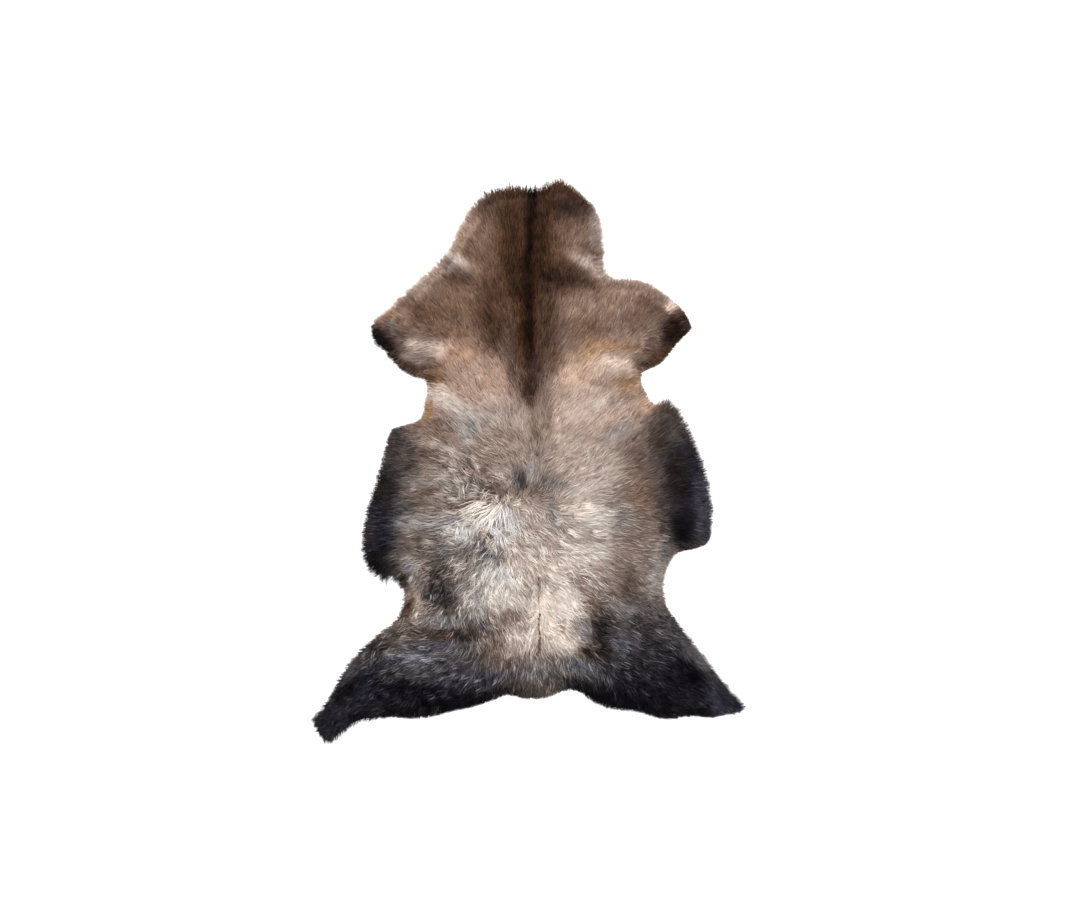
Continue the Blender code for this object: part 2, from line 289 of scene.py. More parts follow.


# The fleece's colours, as patches laid over each other from the first row to the last. long and wide are
# half a patch's length and width in mm, and turn, in degrees, is where its length points. tone runs from 0,
# black, to 100, cream, and warmth from 0, blue-grey, over greige and brown to 100, tan.
# Some rows paint light and shade: highlights on rolls and bulges, shade in creases and troughs, sheen on dark
# wool.
Patch = namedtuple("Patch", "x y long wide turn tone warmth")
PATCHES = [Patch(*row) for row in (
    (0, 0, 900, 900, 0, 55, 55),  # whole pelt
    # neck
    (0, 400, 190, 130, 0, 33, 74),  # all of it
    (-90, 407, 42, 55, 0, 49, 66),  # left
    (-106, 430, 40, 14, 58, 73, 64),  # left edge
    (-126, 390, 26, 10, 65, 72, 68),  # pale left edge
    (-44, 456, 47, 26, 10, 27, 64),  # left of the nape
    (-84, 470, 12, 18, -20, 48, 70),  # left corner of the nape
    (-30, 400, 90, 20, 88, 19, 82),  # left of the spine
    (58, 470, 48, 26, -10, 24, 80),  # right lobe of the nape
    (74, 446, 30, 17, -15, 17, 56),  # dark of the right lobe
    (93, 477, 30, 8, -45, 46, 72),  # edge of the right lobe
    (24, 420, 90, 18, 88, 16, 82),  # right of the spine
    (90, 393, 38, 32, 0, 52, 64),  # right
    (118, 410, 40, 10, 94, 69, 48),  # right edge
    (0, 320, 51, 50, 0, 14, 78),  # lower neck
    (104, 350, 30, 11, -25, 79, 50),  # roll right, a painted highlight on its top
    (84, 310, 54, 19, -8, 0, 68),  # painted shade in the crease under it
    (-85, 335, 30, 30, 0, 46, 68),  # left of the lower neck
    (-130, 359, 30, 9, -36, 80, 45),  # roll left, a painted highlight on its top
    (-150, 372, 12, 8, 30, 84, 66),  # left end of that roll, its painted highlight
    (-140, 336, 22, 15, -20, 56, 48),  # hollow under it
    (-124, 321, 26, 10, -8, 29, 66),  # painted shade in that hollow
    (-174, 331, 32, 9, 48, 84, 78),  # edge left of that hollow
    # left foreleg
    (-115, 280, 55, 34, 0, 49, 72),  # shoulder
    (-62, 250, 28, 60, 0, 23, 74),  # left of the withers
    (-165, 262, 45, 24, 10, 43, 72),  # foreleg
    (-202, 262, 13, 22, 0, 33, 70),  # dark
    (-192, 312, 32, 12, 44, 76, 52),  # top
    (-228, 284, 34, 11, 43, 62, 70),  # pink top
    (-226, 246, 16, 22, -20, 55, 70),  # wrist
    (-257, 257, 18, 9, 30, 66, 84),  # top of the wrist
    (-261, 210, 32, 18, -50, 1, 40),  # forefoot
    (-276, 231, 8, 8, 0, 10, 60),  # tip of the forefoot
    (-240, 236, 16, 5, -60, 46, 35),  # grey streak at the wrist
    (-225, 208, 12, 20, 0, 30, 58),  # inside of the wrist
    (-196, 205, 28, 11, -10, 82, 52),  # bulge, a painted highlight on it
    (-152, 196, 34, 14, 5, 84, 56),  # right end of that bulge, its painted highlight
    (-200, 180, 34, 9, -12, 68, 46),  # shade under that bulge
    (-212, 163, 42, 9, -32, 24, 62),  # back edge
    (-243, 188, 20, 8, -58, 4, 50),  # upper back edge
    (-162, 144, 24, 10, 0, 27, 92),  # painted shade in the crease behind the foreleg
    (-162, 166, 30, 9, 6, 45, 72),  # brown above that crease
    (-118, 186, 34, 28, 30, 66, 76),  # tan of the shoulder
    (-140, 228, 46, 12, 0, 47, 72),  # brown of the shoulder
    # right foreleg
    (110, 270, 75, 44, 0, 61, 66),  # shoulder
    (30, 235, 20, 60, 0, 25, 72),  # right of the withers
    (158, 325, 40, 10, -2, 92, 52),  # top
    (190, 290, 40, 18, -20, 61, 66),  # foreleg
    (226, 300, 34, 7, -35, 70, 60),  # top edge of the wrist
    (214, 277, 28, 11, -25, 38, 62),  # dark above the wrist
    (203, 258, 26, 18, 0, 50, 68),  # wrist
    (254, 270, 10, 8, -20, 100, 72),  # pale spot of the wrist
    (180, 214, 40, 12, 5, 63, 66),  # back
    (102, 232, 30, 20, 0, 47, 70),  # tan of the shoulder
    (267, 236, 22, 18, 0, 2, 62),  # forefoot
    (248, 212, 26, 13, 62, 6, 65),  # side of the forefoot
    (282, 240, 8, 24, 0, 26, 62),  # outer edge of the forefoot
    (224, 204, 16, 20, 30, 50, 60),  # inside of the wrist
    (160, 197, 36, 8, -6, 54, 94),  # painted shade in the crease above the right elbow
    (232, 184, 36, 10, 42, 27, 75),  # back edge
    (204, 166, 18, 10, -20, 8, 66),  # hook
    (120, 188, 36, 24, 0, 67, 90),  # gold of the shoulder
    # withers and elbows
    (-75, 145, 50, 34, 0, 70, 64),  # withers
    (-30, 180, 14, 50, 0, 33, 58),  # left of the spine on the withers
    (-62, 138, 22, 36, 0, 68, 70),  # cream left of the spine
    (-66, 108, 38, 12, 0, 76, 58),  # pale above the left back
    (-150, 117, 28, 20, 0, 87, 58),  # left elbow, a painted highlight on its bulge
    (-135, 100, 36, 14, -25, 86, 42),  # below the left elbow
    (-110, 118, 40, 16, -35, 68, 64),  # back of the left elbow
    (-181, 84, 13, 22, 0, 60, 94),  # tan at the left elbow
    (82, 146, 46, 34, 0, 81, 75),  # right withers
    (34, 176, 20, 26, 0, 31, 68),  # right of the spine on the withers
    (154, 172, 40, 23, 0, 90, 64),  # right elbow, a painted highlight on its bulge
    (166, 130, 34, 13, 18, 56, 100),  # painted shade in the hollow of the right elbow
    (197, 138, 9, 22, 0, 66, 80),  # edge of the right elbow
    (208, 95, 20, 14, -20, 78, 96),  # tan at the right elbow
    (230, 96, 12, 8, 0, 95, 98),  # corner of the right elbow
    # back
    (-70, 67, 60, 24, 0, 71, 34),  # left back
    (-106, 50, 26, 16, 78, 72, 24),  # blue left of the back
    (-164, 56, 30, 14, 0, 48, 60),  # brown left of it
    (90, 85, 90, 45, 10, 81, 58),  # right back
    (122, 100, 40, 9, 38, 87, 52),  # pale streak of the right back
    (172, 80, 30, 20, 30, 76, 64),  # edge of the right back
    (100, -2, 70, 50, 0, 77, 54),  # right saddle
    (98, -55, 40, 20, 0, 82, 42),  # lower right saddle
    (32, 95, 12, 60, 0, 53, 54),  # right of the spine on the back
    (-50, 50, 40, 28, 0, 62, 54),  # left saddle
    (-42, -20, 22, 14, 0, 64, 44),  # pale of the left saddle
    (-148, 18, 32, 8, -25, 70, 44),  # pale streak of the left saddle
    (-160, -25, 50, 26, 0, 61, 44),  # left ribs
    (-188, 8, 24, 14, 0, 42, 50),  # upper left ribs
    (-112, -12, 12, 16, 20, 48, 44),  # dark locks left of the saddle
    (-112, -50, 34, 15, 0, 51, 34),  # olive of the saddle
    (-63, -53, 26, 8, -22, 41, 46),  # dark of the saddle
    (13, 46, 12, 30, 0, 52, 56),  # spine on the back
    (14, 8, 24, 22, 0, 52, 48),  # lower spine on the back
    (-14, -36, 12, 20, 0, 34, 26),  # dark left of the middle
    (6, -20, 9, 20, 0, 60, 30),  # pale of the middle
    (30, -40, 13, 12, 0, 36, 28),  # dark right of the middle
    (50, -44, 18, 12, 0, 53, 34),  # grey right of it
    (8, -62, 34, 10, 0, 48, 50),  # below the middle
    (140, -14, 44, 24, 28, 77, 50),  # streaks of the right saddle
    (160, 48, 28, 13, 25, 68, 34),  # grey of the right back
    (190, 12, 24, 28, 0, 50, 56),  # upper right ribs
    (205, -60, 26, 34, 0, 50, 68),  # right ribs
    (200, -110, 34, 22, 0, 54, 58),  # lower right ribs
    # flanks
    (-262, -60, 34, 90, -10, 15, 22),  # left flank
    (-238, 36, 18, 28, -10, 25, 36),  # top of the left flank
    (-212, 0, 11, 30, 0, 35, 38),  # inside of the left flank
    (-252, -55, 17, 30, -14, 14, 34),  # dark of the left flank
    (-201, -46, 20, 16, 0, 53, 40),  # mauve by the left flank
    (-186, -60, 20, 5, 8, 42, 60),  # brown crease by the left flank
    (-180, -82, 36, 13, 0, 48, 46),  # brown by the left flank
    (-222, -88, 18, 15, 0, 44, 28),  # grey by the left flank
    (-271, -130, 34, 44, 0, 12, 2),  # lower left flank
    (-293, -100, 7, 72, 0, 30, 80),  # tips of the left flank
    (-281, -110, 9, 60, 0, 24, 20),  # inside those tips
    (-251, 18, 8, 36, -8, 30, 36),  # upper tips of the left flank
    (-265, -185, 32, 26, 0, 5, 22),  # foot of the left flank
    (285, -40, 48, 100, 12, 14, 8),  # right flank
    (253, 74, 24, 34, 20, 32, 42),  # top of the right flank
    (232, 34, 15, 26, 10, 27, 50),  # inside of the right flank
    (262, -30, 18, 40, 0, 13, 40),  # dark inside the right flank
    (226, -30, 12, 14, 0, 44, 50),  # grey by the right flank
    (272, -124, 25, 30, 0, 3, 20),  # foot of the right flank
    (308, -80, 12, 70, 0, 34, 12),  # tips of the right flank
    (289, 38, 10, 20, 20, 28, 30),  # upper tips of the right flank
    (316, -125, 9, 20, -8, 28, 12),  # lower tips of the right flank
    (238, -118, 8, 34, 0, 34, 40),  # edge by the right flank
    # cream of the saddle
    (14, -100, 46, 30, 0, 70, 52),  # middle
    (45, -98, 9, 28, 8, 54, 30),  # grey locks of the middle
    (122, -104, 50, 24, 0, 92, 36),  # pale right ribs
    (102, -88, 28, 9, 0, 98, 54),  # cream right ribs
    (168, -104, 16, 22, 0, 60, 36),  # grey right ribs
    (-78, -103, 46, 14, 18, 100, 36),  # cream of the saddle
    (-56, -92, 24, 10, 0, 58, 36),  # top of that cream
    (-128, -120, 46, 10, 12, 82, 34),  # left of that cream
    (-104, -142, 40, 11, 0, 84, 28),  # foot of that cream
    (-36, -122, 26, 22, 0, 76, 24),  # right of that cream
    (-80, -141, 22, 8, 0, 50, 46),  # olive ring
    (-200, -117, 34, 12, 0, 66, 26),  # pale left ribs
    (-182, -146, 34, 20, 0, 42, 44),  # brown left ribs
    (-110, -163, 44, 13, -4, 44, 30),  # dark locks under the cream
    (-152, -164, 22, 13, 20, 46, 26),  # mauve under the cream
    # loin and waists
    (20, -190, 90, 50, 0, 80, 54),  # loin
    (-90, -195, 40, 22, 0, 55, 38),  # left loin
    (-108, -216, 30, 24, 0, 56, 46),  # brown left loin
    (-58, -210, 34, 22, 0, 88, 28),  # cream left loin
    (-70, -170, 24, 11, -20, 39, 24),  # dark right of those locks
    (112, -160, 45, 27, 0, 85, 44),  # right loin
    (118, -218, 38, 22, 0, 67, 46),  # olive right loin
    (89, -228, 17, 18, 0, 36, 56),  # olive above the cream
    (32, -216, 14, 11, 0, 60, 60),  # shade of the middle loin
    (226, -170, 22, 34, -20, 66, 46),  # right waist
    (197, -172, 10, 34, 0, 62, 50),  # pale along the right waist
    (243, -160, 7, 22, -15, 48, 22),  # blue by the right waist
    (185, -226, 17, 22, 0, 46, 52),  # brown by the right waist
    (222, -222, 14, 44, -5, 66, 36),  # pale right waist
    (-212, -178, 28, 13, 0, 58, 40),  # grey above the left waist
    (-214, -192, 13, 9, 0, 60, 14),  # blue above the left waist
    (-162, -186, 22, 18, 0, 31, 38),  # dark above the left waist
    (-224, -214, 11, 13, 20, 9, 34),  # edge of the left waist
    (-199, -226, 13, 20, 0, 58, 40),  # left waist
    (-200, -250, 11, 18, 0, 68, 56),  # pink left waist
    (-224, -275, 10, 30, -30, 24, 66),  # lower edge of the left waist
    (-155, -241, 28, 27, 0, 19, 28),  # dark spot of the left loin
    (-166, -208, 13, 14, 0, 22, 40),  # top of that spot
    (-150, -290, 46, 13, 6, 53, 24),  # pale below that spot
    (-92, -255, 24, 26, 0, 71, 36),  # pale right of that spot
    (-44, -250, 36, 18, 0, 92, 46),  # pink of the rump
    (-86, -296, 26, 11, -15, 36, 30),  # dark streaks of the rump
    (60, -256, 40, 40, 0, 100, 48),  # cream rump
    (20, -274, 20, 26, 0, 94, 50),  # cream along the parting
    (50, -312, 32, 26, 0, 100, 54),  # cream right of the parting
    (76, -333, 24, 18, 0, 100, 60),  # lower cream
    (112, -257, 14, 14, -40, 56, 64),  # tan right of the cream
    (68, -298, 16, 8, 10, 70, 68),  # tan in the cream
    (100, -302, 14, 18, 0, 68, 26),  # blue right of the cream
    (-8, -318, 32, 24, 20, 85, 54),  # cream left of the parting
    # right thigh
    (200, -300, 70, 45, 0, 29, 28),  # thigh
    (165, -262, 26, 10, -10, 62, 30),  # top
    (134, -311, 16, 36, 4, 10, 32),  # dark column
    (116, -341, 28, 9, -4, 25, 66),  # crease right of the cream
    (172, -330, 28, 20, -30, 44, 10),  # blue, a painted sheen on the dark wool
    (250, -345, 46, 22, -20, 22, 14),  # dark
    (264, -308, 16, 30, 20, 28, 22),  # side
    (235, -398, 130, 40, -10, 10, 8),  # lower thigh
    (190, -434, 120, 22, -10, 3, 12),  # lower edge
    (303, -354, 36, 9, -52, 44, 20),  # outer edge
    (296, -388, 34, 13, -48, 2, 10),  # painted shade in the trough
    (352, -425, 32, 17, -42, 22, 8),  # hind foot
    (330, -428, 26, 8, -55, 28, 8),  # streak of the hind foot
    (370, -432, 12, 10, -50, 12, 8),  # tip of the hind foot
    (306, -452, 24, 9, -10, 2, 8),  # sole of the hind foot
    (340, -446, 12, 9, -55, 26, 8),  # heel of the hind foot
    (226, -398, 34, 7, -35, 20, 16),  # fold
    # tail and left thigh
    (0, -382, 70, 20, 0, 55, 30),  # tail
    (44, -388, 18, 11, 0, 36, 32),  # shade of the tail
    (96, -368, 36, 12, -18, 42, 14),  # blue streaks right of the tail, a painted sheen
    (5, -406, 60, 11, 0, 52, 60),  # tip of the tail
    (92, -403, 32, 13, -10, 11, 20),  # right edge of the tail
    (114, -424, 30, 11, -25, 2, 14),  # painted shade in the trough right of the tail
    (-48, -356, 24, 9, -28, 47, 68),  # tan left of the tail
    (-82, -345, 34, 20, 0, 46, 56),  # left rump
    (-170, -345, 60, 30, 0, 33, 8),  # thigh
    (-250, -312, 44, 14, 42, 44, 42),  # upper edge of the thigh
    (-291, -326, 14, 10, 45, 42, 40),  # outer end of that edge
    (-268, -334, 34, 12, 40, 21, 36),  # brown of the thigh
    (-150, -309, 54, 9, -3, 21, 56),  # painted shade in the crease across the thigh
    (-112, -318, 13, 11, 0, 20, 36),  # right end of that crease, its painted shade
    (-165, -340, 28, 9, -12, 38, 24),  # streaks of the thigh
    (-198, -357, 40, 9, 6, 55, 14),  # long streaks of the thigh, a painted sheen
    (-248, -356, 24, 11, 15, 27, 6),  # outer streaks of the thigh, a painted sheen
    (-120, -354, 30, 16, 0, 38, 26),  # dark right of those streaks
    (-215, -412, 150, 34, 4, 7, 10),  # lower thigh
    (-108, -388, 56, 14, 4, 33, 10),  # blue left of the tail, a painted sheen
    (-190, -384, 40, 10, 0, 28, 20),  # grey of the lower thigh
    (-150, -436, 140, 18, 8, 2, 14),  # lower edge of the thigh
    (-296, -396, 44, 26, 55, 17, 6),  # shank
    (-328, -386, 38, 9, 58, 38, 24),  # outer edge of the shank
    (-326, -414, 26, 9, 58, 2, 20),  # painted shade in the trough of the shank
    (-352, -466, 32, 26, 45, 12, 6),  # hind foot
    (-306, -460, 18, 9, 30, 2, 6),  # sole of the hind foot
    (-334, -450, 24, 10, 50, 20, 14),  # streaks of the hind foot
    # spine
    (6, 455, 40, 17, 92, 19, 70),  # shade by the spine on the nape
    (8, 462, 34, 6, 95, 5, 65),  # spine on the nape
    (-10, 494, 70, 7, 0, 36, 80),  # edge of the nape
    (2, 400, 50, 7, 87, 0, 78),  # spine on the neck
    (-4, 320, 60, 7, 88, 0, 78),  # lower spine on the neck
    (-4, 240, 70, 18, 88, 13, 90),  # brown by the spine
    (2, 230, 80, 8, 90, 2, 78),  # spine on the shoulders
    (4, 136, 44, 17, 86, 22, 65),  # end of the spine
    (-8, 84, 12, 13, 0, 70, 52),  # pale left of the end of the spine
)]
WANDER = 4.0  # mm that the patches' borders wander


def colour_at(x, y):
    """The tone and the warmth of the wool at each place."""
    x = x / MM + WANDER * drift(x, y, 14 * MM, 2.5)
    y = y / MM + WANDER * drift(x * MM, y, 14 * MM, 8.5)
    tone, warmth = np.zeros(len(x)), np.zeros(len(x))
    for row in PATCHES:
        turn = math.radians(row.turn)
        along = (x - row.x) * math.cos(turn) + (y - row.y) * math.sin(turn)
        across = (y - row.y) * math.cos(turn) - (x - row.x) * math.sin(turn)
        away = (along / row.long) ** 2 + (across / row.wide) ** 2
        share = np.exp(-0.69 * away**1.35)  # a half at the patch's edge
        tone += share * (row.tone / 100 - tone)
        warmth += share * (row.warmth / 100 - warmth)
    return tone, warmth


STOPS = (0.0, 0.15, 0.35, 0.55, 0.75, 1.0)  # the tones that each palette's six colours stand at
PALETTES = (  # from the coolest to the warmest
    "08070D 1F1E2A 4A4A5A 7C7D8D ADADBA EDECF3",
    "0B0909 292423 544D4A 89817C BDB5AF F9F4EE",
    "0D0907 32231C 5F493E 957B6C C9B1A2 FDF1E6",
    "110A05 3D2715 76522F AB8153 D6B185 FFEAC8",
)


def fleece_colour(nodes, tone, warmth):
    """The colour of wool, from sockets that give its tone and its warmth."""
    coolest, *warmer = [tuple(zip(STOPS, colours.split())) for colours in PALETTES]
    found = nodes.ramp(tone, coolest)
    for n, stops in enumerate(warmer):
        share = nodes.add("ShaderNodeMapRange", {"Value": warmth, "From Min": n / 3, "From Max": (n + 1) / 3})
        found = nodes.mix(share.outputs["Result"], found, nodes.ramp(tone, stops))
    return found


undercoat = slab_without_locks("undercoat")
mode("EDIT")
select_whole()
bpy.ops.mesh.quads_convert_to_tris()
bpy.ops.mesh.subdivide(number_cuts=1)
mode("OBJECT")
places = np.zeros(len(undercoat.data.vertices) * 3)
undercoat.data.vertices.foreach_get("co", places)
places = places.reshape(-1, 3)
tuft = drift(places[:, 0], places[:, 1], 9 * MM, 4.0)
rise = places[:, 2] * UNDERCOAT_SHARE * (1 + 0.16 * tuft)
places[:, 2] = SKIN_THICKNESS + np.maximum(rise - SKIN_THICKNESS, 0)
undercoat.data.vertices.foreach_set("co", places.ravel())
undercoat.data.shade_smooth()
tone, warmth = colour_at(places[:, 0], places[:, 1])
for name, values in (("tone", tone * UNDERCOAT_TONE), ("warmth", warmth)):
    undercoat.data.attributes.new(name, "FLOAT", "POINT").data.foreach_set("value", values.astype(np.float32))

dense_wool = Nodes("dense_wool", roughness=0.9)
dense_wool.shader.inputs["Specular IOR Level"].default_value = 0.02
tone = dense_wool.add("ShaderNodeAttribute", attribute_name="tone").outputs["Fac"]
warmth = dense_wool.add("ShaderNodeAttribute", attribute_name="warmth").outputs["Fac"]
place = dense_wool.add("ShaderNodeTexCoord").outputs["Object"]
fibre = dense_wool.add("ShaderNodeTexNoise", {"Vector": place, "Scale": 500, "Detail": 3}).outputs["Fac"]
fleck = dense_wool.add("ShaderNodeMath", {0: fibre, 1: 0.3, 2: -0.15}, operation="MULTIPLY_ADD").outputs[0]
tone = dense_wool.add("ShaderNodeMath", {0: tone, 1: fleck}, operation="ADD").outputs[0]
dense_wool.to("Base Color", fleece_colour(dense_wool, tone, warmth))
bump = dense_wool.add("ShaderNodeBump", {"Height": fibre, "Strength": 0.6, "Distance": 1.5 * MM})
dense_wool.to("Normal", bump.outputs["Normal"])
undercoat.data.materials.append(dense_wool.material)
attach(undercoat, "root")
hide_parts("lambskin")


# The strands of the fleece. Long, nearly straight lamb's wool that grows out of the skin and lies over
# in the direction it was brushed. Tufts of it cling together at their tips.

# The direction in which the tips point, in degrees from the right. In this table and the next two, reach is
# how far from its place, in mm, a row counts.
Nap = namedtuple("Nap", "x y reach turn")
NAP = [Nap(*row) for row in (
    # nape and neck
    (0, 470, 60, 90),
    (-85, 455, 35, 112),
    (95, 465, 35, 68),
    (0, 360, 60, 90),
    (-110, 390, 40, 125),
    (110, 400, 40, 60),
    (-135, 345, 30, 138),
    (112, 350, 30, 50),
    # shoulders
    (-120, 270, 50, 115),
    (110, 270, 50, 66),
    # left foreleg
    (-200, 290, 35, 128),
    (-215, 250, 30, 150),
    (-262, 225, 25, 172),
    (-190, 195, 25, 200),
    (-225, 165, 20, 218),
    # right foreleg
    (180, 300, 35, 78),
    (230, 265, 30, 45),
    (265, 240, 25, 5),
    (235, 195, 25, -25),
    (160, 176, 22, 30),
    (185, 132, 25, 25),
    # left elbow and withers
    (-160, 112, 30, 162),
    (-80, 140, 50, 125),
    (0, 160, 40, 90),
    (90, 140, 50, 55),
    # back and upper saddle
    (0, 70, 30, 95),
    (-105, 60, 40, 142),
    (120, 60, 50, 48),
    (-60, 0, 40, 150),
    (-125, -45, 25, 142),
    (90, -10, 45, 38),
    # left flank and ribs
    (-230, 40, 35, 176),
    (-270, -60, 40, 182),
    (-280, -150, 35, 190),
    (-240, -195, 25, 222),
    (-180, -60, 40, 172),
    (-170, -140, 40, 174),
    # right flank and ribs
    (245, 85, 25, 48),
    (285, 10, 35, 18),
    (310, -70, 35, 2),
    (295, -130, 30, -12),
    (195, -20, 40, 28),
    (150, -90, 40, 4),
    (185, -150, 40, -8),
    # saddle and its cream
    (-5, -42, 26, 92),
    (50, -50, 30, 48),
    (-82, -98, 26, 208),
    (-32, -100, 18, -62),
    (12, -100, 28, -42),
    (-90, -148, 26, 246),
    # loin
    (90, -160, 40, -18),
    (5, -160, 35, -46),
    (110, -220, 35, -35),
    (60, -255, 35, -38),
    (-70, -190, 28, 236),
    (-125, -225, 32, 232),
    # rump and parting
    (-40, -250, 35, -56),
    (-90, -275, 28, -72),
    (-10, -320, 25, -78),
    (60, -315, 25, -50),
    # waists
    (-205, -240, 25, 235),
    (215, -215, 30, -25),
    # left thigh and hind foot
    (-270, -335, 30, 226),
    (-200, -350, 40, 188),
    (-150, -395, 40, 205),
    (-285, -410, 35, 208),
    (-180, -445, 25, 262),
    (-350, -470, 30, 222),
    # right thigh and hind foot
    (190, -320, 40, -22),
    (290, -345, 30, -50),
    (275, -410, 35, -28),
    (180, -440, 25, -80),
    (350, -438, 30, -35),
    # tail
    (0, -395, 40, -90),
    (70, -380, 35, -68),
    (-60, -390, 35, -112),
)]

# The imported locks' tips show how far the wool reaches past their roots, all round the rim.
tips = {(round(v.co.x, 5), round(v.co.y, 5)) for v in frame["nodes"]["lambskin"].data.vertices
        if TIP_BAND[0] < v.co.z < TIP_BAND[1]}
tips = np.array(sorted(tips))
tip_reach = beyond_rim(*tips.T)
tip_tree = KDTree(len(tips))
for n, (x, y) in enumerate(tips):
    tip_tree.insert((x, y, 0), n)
tip_tree.balance()


def fringe_at(x, y):
    """How far past the rim the wool reaches near each place."""
    near = [tip_tree.find_n((a, b, 0), 3) for a, b in zip(x, y)]
    return tip_reach[np.array([[n for _, n, _ in found] for found in near], int).reshape(-1, 3)].mean(axis=1)


# How tousled the wool lies, from 0, brushed smooth, to 100, curled.
Tousle = namedtuple("Tousle", "x y reach amount")
TOUSLE = [Tousle(*row) for row in (
    # neck, shoulders, withers and left elbow
    (0, 400, 120, 4),
    (-140, 260, 80, 10),
    (140, 260, 80, 8),
    (0, 150, 80, 15),
    (-150, 110, 40, 20),
    # back
    (-110, 50, 50, 38),
    (110, 60, 60, 20),
    # saddle and right ribs
    (-90, -20, 40, 62),
    (10, -20, 50, 35),
    (110, -20, 40, 30),
    (-80, -100, 50, 100),
    (150, -100, 50, 35),
    # flanks, left ribs and right waist
    (-270, -60, 60, 20),
    (290, -40, 70, 8),
    (-180, -80, 40, 36),
    (200, -200, 50, 30),
    # loin, rump and tail
    (20, -150, 40, 70),
    (-100, -200, 60, 80),
    (40, -240, 50, 65),
    (0, -310, 60, 65),
    (0, -390, 50, 45),
    # thighs and hind feet
    (-180, -360, 70, 65),
    (180, -330, 60, 60),
    (-320, -440, 50, 30),
    (310, -410, 60, 25),
)]

# The wool of the rump parts along a line, given by its x and, in y, its ends and where it starts to gape.
Parting = namedtuple("Parting", "x bottom gape top")
PARTING = Parting(x=19, bottom=-338, gape=-272, top=-205)
PARTING_LEAN = 12  # mm at each side in which the wool leans away from the line
PARTING_GAPES = (1.6, 1.0)  # mm at each side that lie in its shade, below and above where it gapes

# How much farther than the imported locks, in mm, the finest hair stands out round the rim.
Fluff = namedtuple("Fluff", "x y reach amount")
FLUFF = [Fluff(*row) for row in (
    # nape and neck
    (0, 490, 80, 15),
    (-88, 470, 18, 8),
    (98, 470, 28, -1),
    (-110, 420, 50, 14),
    (125, 420, 50, 9),
    # forelegs and elbows
    (-220, 310, 50, 16),
    (200, 320, 50, 7),
    (-290, 230, 25, 4),
    (-270, 198, 20, 12),
    (290, 240, 40, 0),
    (-190, 130, 40, 4),
    (220, 140, 40, 2),
    # left flank
    (-240, 60, 30, 5),
    (-295, -60, 60, 3),
    (-270, -205, 40, 18),
    # right flank
    (250, 105, 30, 12),
    (290, 55, 30, 14),
    (330, -20, 70, 9),
    (290, -155, 30, 1),
    # waists
    (-225, -240, 30, 13),
    (245, -240, 30, 9),
    # thighs and hind feet
    (-300, -335, 50, 14),
    (-286, -320, 20, 4),
    (-375, -430, 35, 15),
    (310, -345, 50, 14),
    (365, -415, 30, 14),
    (336, -453, 20, 0),
    (-350, -490, 30, 12),
    (-292, -458, 25, 14),
    # tail and the lower edge of the thighs
    (10, -415, 60, 0),
    (140, -435, 40, 9),
    (0, -430, 330, 4),
)]


def weighted(rows, x, y, value):
    """A table's value at each place, from the rows nearest to it."""
    total = weight = 0.0
    for row in rows:
        share = np.exp(-((x / MM - row.x) ** 2 + (y / MM - row.y) ** 2) / row.reach**2) + 1e-12
        total, weight = total + share * value(row), weight + share
    return total / weight


def tousle_at(x, y):
    """How tousled the wool lies at each place, from 0 to 1."""
    return weighted(TOUSLE, x, y, lambda row: row.amount / 100)


def fluff_at(x, y):
    """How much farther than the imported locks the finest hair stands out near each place."""
    return weighted(FLUFF, x, y, lambda row: row.amount) * MM


def nap_at(x, y):
    """The direction, in radians, in which the wool's tips point at each place."""
    east = weighted(NAP, x, y, lambda row: math.cos(math.radians(row.turn)))
    north = weighted(NAP, x, y, lambda row: math.sin(math.radians(row.turn)))
    return np.arctan2(north, east)


def staggered(pitch, loose):
    """Places a pitch apart inside the rim, each moved at random by up to a share of the pitch."""
    rows = np.arange(cad_low.y, cad_high.y, pitch * math.sqrt(3) / 2)
    columns = np.arange(cad_low.x, cad_high.x, pitch)
    x, y = np.meshgrid(columns, rows)
    x = x + (np.arange(len(rows)) % 2)[:, None] * pitch / 2
    x, y = x.ravel(), y.ravel()
    x = x + loose * pitch * draw.uniform(-1, 1, len(x))
    y = y + loose * pitch * draw.uniform(-1, 1, len(y))
    kept = inside_rim(x, y)
    return x[kept], y[kept]


TUFT_PITCH = 11 * MM  # of the tufts whose strands cling together
tuft_x, tuft_y = staggered(TUFT_PITCH, 0.45)
tuft_tree = KDTree(len(tuft_x))
for n, (x, y) in enumerate(zip(tuft_x, tuft_y)):
    tuft_tree.insert((x, y, 0), n)
tuft_tree.balance()
tuft_tousle = tousle_at(tuft_x, tuft_y)
astray = 18 * MM * tuft_tousle  # a tousled tuft lies the way that its neighbours do
tuft_turn = nap_at(
    tuft_x + astray * draw.normal(0, 1, len(tuft_x)), tuft_y + astray * draw.normal(0, 1, len(tuft_x))
) - nap_at(tuft_x, tuft_y)
tuft_turn = (tuft_turn + math.pi) % (2 * math.pi) - math.pi
tuft_turn += np.radians(4 + 14 * tuft_tousle) * draw.normal(0, 1, len(tuft_x))
tuft_tone = (0.022 + 0.064 * tuft_tousle) * draw.normal(0, 1, len(tuft_x))
tuft_length = 1 + (0.06 + 0.2 * tuft_tousle) * draw.uniform(-1, 1, len(tuft_x))
tuft_rise = (0.03 + 0.13 * tuft_tousle) * draw.uniform(-1, 1, len(tuft_x))
tuft_phase = draw.uniform(0, 2 * math.pi, len(tuft_x))


